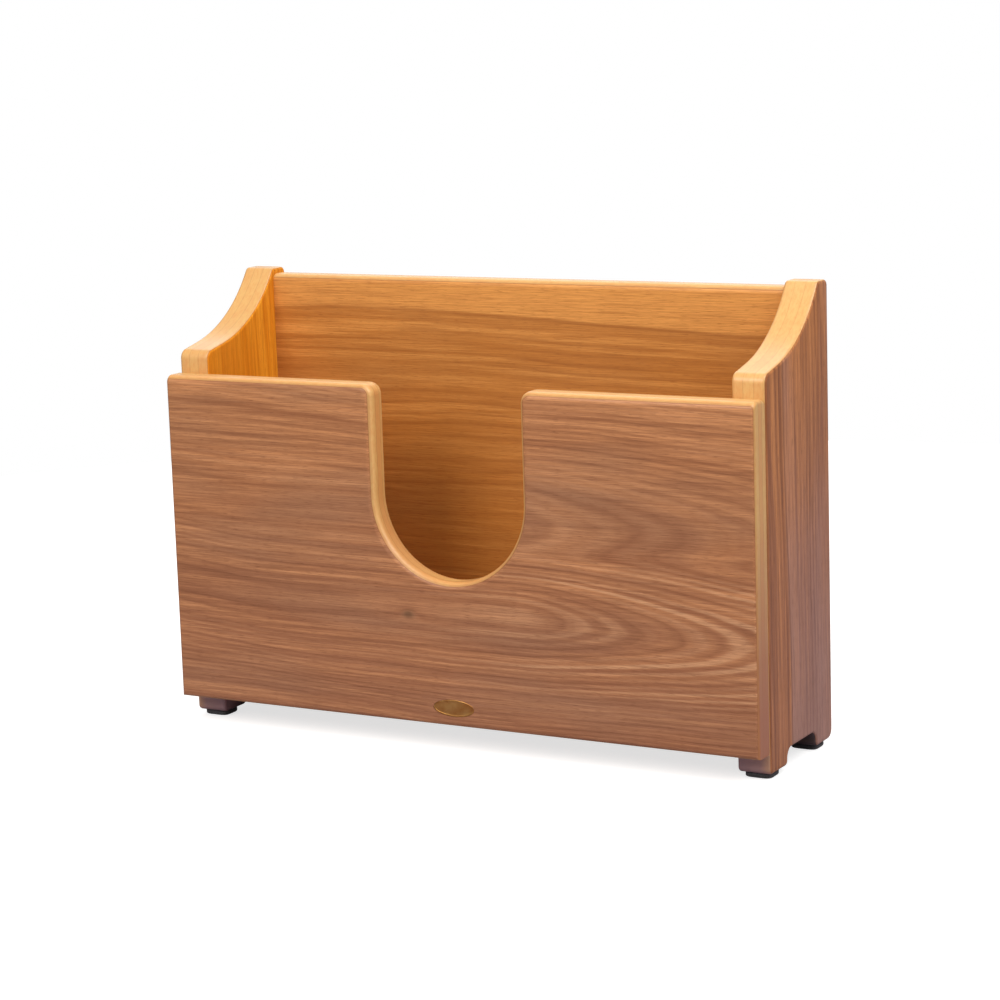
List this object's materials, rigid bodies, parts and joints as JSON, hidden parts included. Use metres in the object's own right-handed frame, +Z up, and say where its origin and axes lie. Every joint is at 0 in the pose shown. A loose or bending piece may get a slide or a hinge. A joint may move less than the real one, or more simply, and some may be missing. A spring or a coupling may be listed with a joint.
{
  "type": "magazine file holder",
  "caption": "Wooden magazine and file holder: deep front panel with a U thumb notch, taller back panel, coved sides that end in feet, open top.",
  "frame": {"origin": "under the middle of the holder, on the surface it stands on", "axes": "+X to the right along the front panel, +Y from the front panel to the back panel, +Z up"},
  "size_m": [0.34, 0.092, 0.238],
  "materials": {
    "face_veneer": "satin clear-coated teak-coloured veneer",
    "pale_core": "satin clear-coated pale plywood",
    "dowel_wood": "raw beech",
    "foot_pad": "matt",
    "plate_metal": "brushed"
  },
  "bodies": {
    "root": {"front_face_veneer": "face_veneer", "front_inner_veneer": "face_veneer", "back_inner_veneer": "face_veneer", "back_rear_veneer": "face_veneer", "floor_under_veneer": "face_veneer", "floor_top_veneer": "face_veneer", "left_outer_veneer": "face_veneer", "left_inner_veneer": "face_veneer", "right_inner_veneer": "face_veneer", "right_outer_veneer": "face_veneer", "front_core": "pale_core", "back_core": "pale_core", "floor_core": "pale_core", "left_core": "pale_core", "right_core": "pale_core", "front_floor_dowels": "dowel_wood", "back_floor_dowels": "dowel_wood", "left_front_dowels": "dowel_wood", "left_back_dowels": "dowel_wood", "left_floor_dowels": "dowel_wood", "right_front_dowels": "dowel_wood", "right_back_dowels": "dowel_wood", "right_floor_dowels": "dowel_wood", "front_left_foot_pad": "foot_pad", "front_right_foot_pad": "foot_pad", "back_left_foot_pad": "foot_pad", "back_right_foot_pad": "foot_pad", "label_plate": "plate_metal"}
  },
  "joints": []
}
